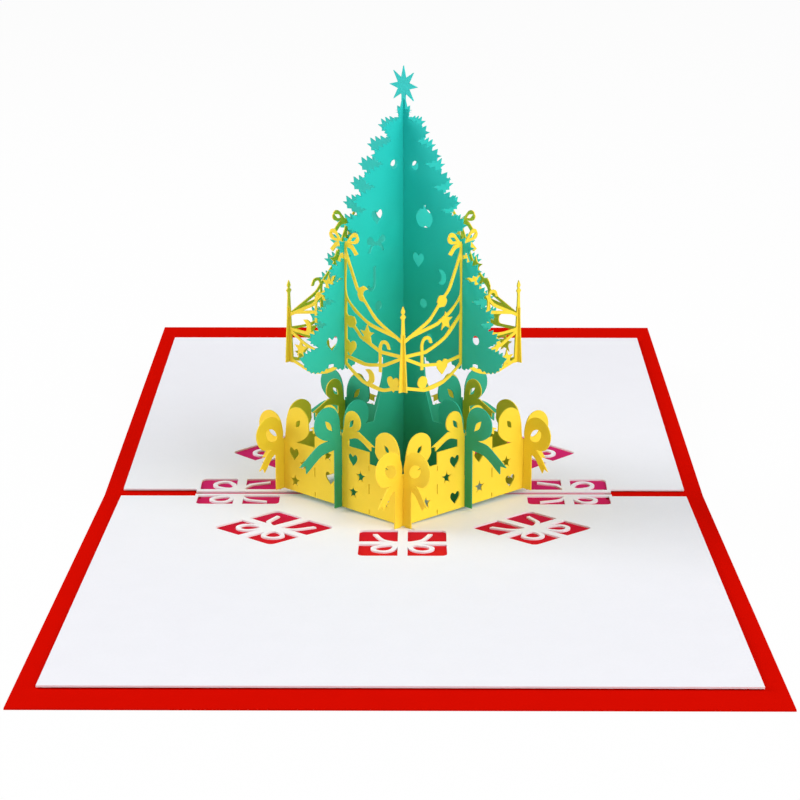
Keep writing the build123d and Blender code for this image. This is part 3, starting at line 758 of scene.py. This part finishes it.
def join_strand(points):
    """The openings on both sides of a strand that runs on, or the loop alone if none ends in it."""
    end = strand_end(points)
    if end is None:
        return [points]
    turned = points[end + 1 :] + points[: end + 1]
    first, cut = run_on(turned[1], turned[0], turned)
    last, same_cut = run_on(turned[-2], turned[-1], turned)
    assert cut == same_cut
    return [[first, *turned[1 : cut + 1]], [*turned[cut + 1 : -1], last]]


# %% Garlands
FOOT_FROM = 20.2 * MM
FOOT_TOP = 46 * MM
FOOT_SHARE = 0.5


def slim_foot(point):
    """A corner of a candle's foot, drawn in to half its spread beyond the crossing."""
    spread = abs(point.x) - FOOT_FROM
    if spread < 0 or point.y > FOOT_TOP:
        return point
    return Vector((copysign(FOOT_FROM + spread * FOOT_SHARE, point.x), point.y))


def dress_garland(loops):
    """Slimmer candle feet and joined strands."""
    slim = [[slim_foot(point) for point in points] for points in loops]
    return [opening for points in slim for opening in join_strand(points)]


swag_cards = (yellow_card, yellow_edge, "garland_card", dress_garland)
garland_right = cut_sheet("garland_front_right", *swag_cards)
garland_left = cut_sheet("garland_front_left", *swag_cards)

# %% [markdown]
# ## Back sheets
# The card is the same from behind. Each back sheet could be cut from its own solid, but those hold
# fewer of the small openings. So it is its front sheet turned half round the line that stands
# upright between the two halves of the card, which keeps its faces the right way out.

# %% Back sheets
half_turn = Matrix.Rotation(pi, 4, upright)
for piece, node_name, slot in (
    (wall_right, "box_wall_back_left", "box_card"),
    (wall_left, "box_wall_back_right", "box_card"),
    (garland_right, "garland_back_left", "garland_card"),
    (garland_left, "garland_back_right", "garland_card"),
):
    turned_mesh = piece.data.copy()
    turned_mesh.transform(half_turn)
    place_sheet(node_name, turned_mesh)

# %% [markdown]
# ## Tree
# The branches of the slices end in needles: narrow leaf points that a knife cuts between the wide
# teeth of the solids. Noise could roughen the edge, but it would not follow the branches. So the
# outline is followed from the lowest branch tip up to the stem, on either side. Each branch gets a
# row of long needles on its upper edge, short ones below and a drawn-out tip. Short needles hang
# under the lowest branches too, and small sprigs stand at the top, beside two thin prongs.

# %% Rows of needles
LEAF_FOOT = 35.5 * MM
SKIRT_TOP = 41 * MM
SKIRT_NEEDLES = (0.5 * MM, 0.5 * MM)
SKIRT_LEAN = 0.5
SKIRT_EDGE = 1.5 * MM
SKIRT_STEEP = 3
PRONG_SHARE = 0.4


def needles(start, end, heights, lean, out_side):
    """Points of a row of needles from start to end, standing out to one side of the way."""
    way = end - start
    out = Vector((way.y, -way.x)).normalized() * out_side
    row = []
    for needle, height in enumerate(heights):
        row.append(start + way * ((needle + lean) / len(heights)) + out * height)
        row.append(start + way * ((needle + 1) / len(heights)))
    return row


def in_skirt(start, end):
    """True for a cut under the lowest branches that is long, and not the side of a slot."""
    low, high = sorted((start.y, end.y))
    way = end - start
    long_and_flat = way.length > SKIRT_EDGE and abs(way.y) < SKIRT_STEEP * abs(way.x)
    return LEAF_FOOT < low and high < SKIRT_TOP and long_and_flat


def jag_skirt(outline):
    """Needles under the scallops of the lowest branches, but not in the slots of the garlands."""
    jagged = []
    for index, point in enumerate(outline):
        jagged.append(point)
        end = outline[(index + 1) % len(outline)]
        if in_skirt(point, end):
            down = 1 if end.x > point.x else -1
            jagged += needles(point, end, SKIRT_NEEDLES, SKIRT_LEAN, down)[:-1]
    return jagged


def thin_prongs(outline):
    """Thin the two prongs of the plain slice, which stand either side of the other's stem."""
    top = max(point.y for point in outline)
    thinned = []
    for point in outline:
        prong_end = point.y > top - MERGE and abs(point.x) > slice_thickness
        thinned.append(Vector((point.x * PRONG_SHARE, point.y)) if prong_end else point)
    return thinned


print("needles under the lowest branches up to", round(SKIRT_TOP / MM, 1), "mm")

# %% Branches
BRANCH_FOOT = 40 * MM
STEM_HALF = 1.5 * MM
RISE_STEPS = 4
TIP_STEPS = 3
TIP_DRAW = Vector((1.5, 0.7)) * MM
TIP_BASE = Vector((0.0, 0.9)) * MM
NEEDLE_MOST = 1.4 * MM
NEEDLE_SHARE = 0.22
UPPER_NEEDLES = (1.0, 1.0, 0.8, 0.3)
UPPER_LEAN = 0.1
LOWER_NEEDLES = (0.1, 0.4, 0.5)
LOWER_LEAN = 0.75
SPRIG = [(2.7, 97.2), (1.9, 97.2), (2.1, 98.3), (1.2, 98.0)]


def branch_run(outline, side):
    """Numbers of the points from the lowest branch tip of one side up to the stem."""
    count = len(outline)
    above_skirt = [index for index in range(count) if outline[index].y > BRANCH_FOOT]
    first = max(above_skirt, key=lambda index: outline[index].x * side)
    ahead, back = outline[(first + RISE_STEPS) % count], outline[first - RISE_STEPS]
    rising = 1 if ahead.y > back.y else -1
    run = [first]
    while outline[run[-1]].x * side > STEM_HALF:
        run.append((run[-1] + rising) % count)
    return run


def branch_tips(reach):
    """Places in a run where a branch ends: the start, each farthest point, and the end."""
    inner = range(TIP_STEPS, len(reach) - TIP_STEPS)
    tips = [k for k in inner if reach[k] == max(reach[k - TIP_STEPS : k + TIP_STEPS + 1])]
    return [0, *tips, len(reach) - 1]


def needle_path(run, side):
    """The points of a run, with needles for its wide teeth and a sprig at its end."""
    reach = [point.x * side for point in run]
    draw = Vector((side * TIP_DRAW.x, TIP_DRAW.y))
    tips = branch_tips(reach)
    path = []
    for low, high in zip(tips, tips[1:]):
        notch = run[min(range(low, high), key=lambda k: reach[k])]
        above_tip = run[low] + TIP_BASE
        tall = min(NEEDLE_MOST, NEEDLE_SHARE * (notch - above_tip).length)
        upper = [tall * share for share in UPPER_NEEDLES]
        lower = [tall * share for share in LOWER_NEEDLES]
        path += [run[low] + draw, above_tip]
        path += needles(above_tip, notch, upper, UPPER_LEAN, side)
        path += needles(notch, run[high], lower, LOWER_LEAN, side)
    return path + [Vector((side * away, height)) * MM for away, height in SPRIG]


def leafy(loops):
    """Swap the wide teeth of both sides of a slice for needles."""
    solid_outline = max(loops, key=len)
    outline = thin_prongs(jag_skirt(solid_outline))
    for side in (-1, 1):
        count = len(outline)
        run = branch_run(outline, side)
        path = needle_path([outline[index] for index in run], side)
        if (run[1] - run[0]) % count != 1:
            run, path = run[::-1], path[::-1]
        kept = [outline[(run[-1] + step) % count] for step in range(1, count - len(run) + 1)]
        outline = kept + path
    return [outline if points is solid_outline else points for points in loops]


for tree_slice in ("tree_slice_star", "tree_slice_plain"):
    cut_sheet(tree_slice, tree_card, tree_edge, "tree_card", leafy, LEAF_FOOT)
